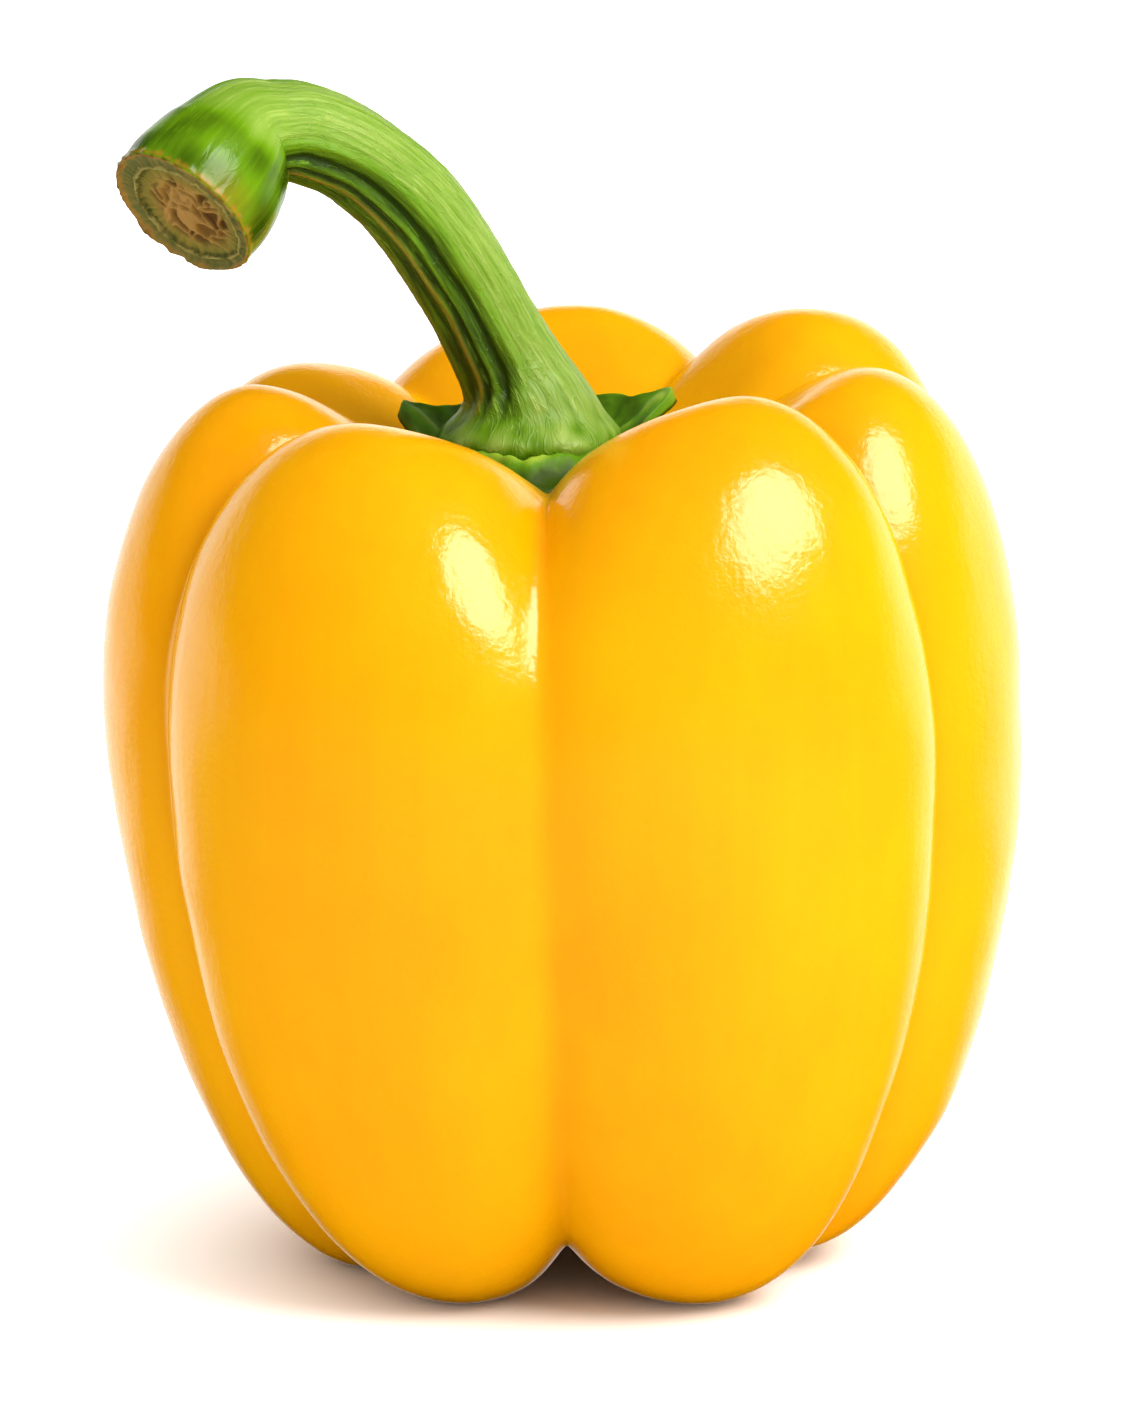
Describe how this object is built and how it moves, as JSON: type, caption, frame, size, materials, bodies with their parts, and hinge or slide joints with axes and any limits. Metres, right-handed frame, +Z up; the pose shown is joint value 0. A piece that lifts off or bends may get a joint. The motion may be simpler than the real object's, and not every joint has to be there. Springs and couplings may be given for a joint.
{
  "type": "bell pepper",
  "caption": "Ripe yellow bell pepper standing on its lobes, with a green lobed calyx and a thick curved stem that ends in a swollen cut.",
  "frame": {"origin": "middle of the bounding box, on the surface that the pepper stands on", "axes": "+Z up along the fruit's axis, -Y towards the front groove between the two widest lobes, +X to the right seen from the front; the stem bends towards -X and -Y"},
  "size_m": [0.088, 0.0874, 0.1157],
  "materials": {
    "skin": "glossy waxy skin, golden yellow, orange towards the grooves and the foot",
    "calyx": "satin dark green, slightly wrinkled",
    "stem": "satin green with lengthwise fibres, and a dry brown cut end"
  },
  "bodies": {
    "root": {"fruit": "skin", "calyx": "calyx", "stem": "stem"}
  },
  "joints": []
}
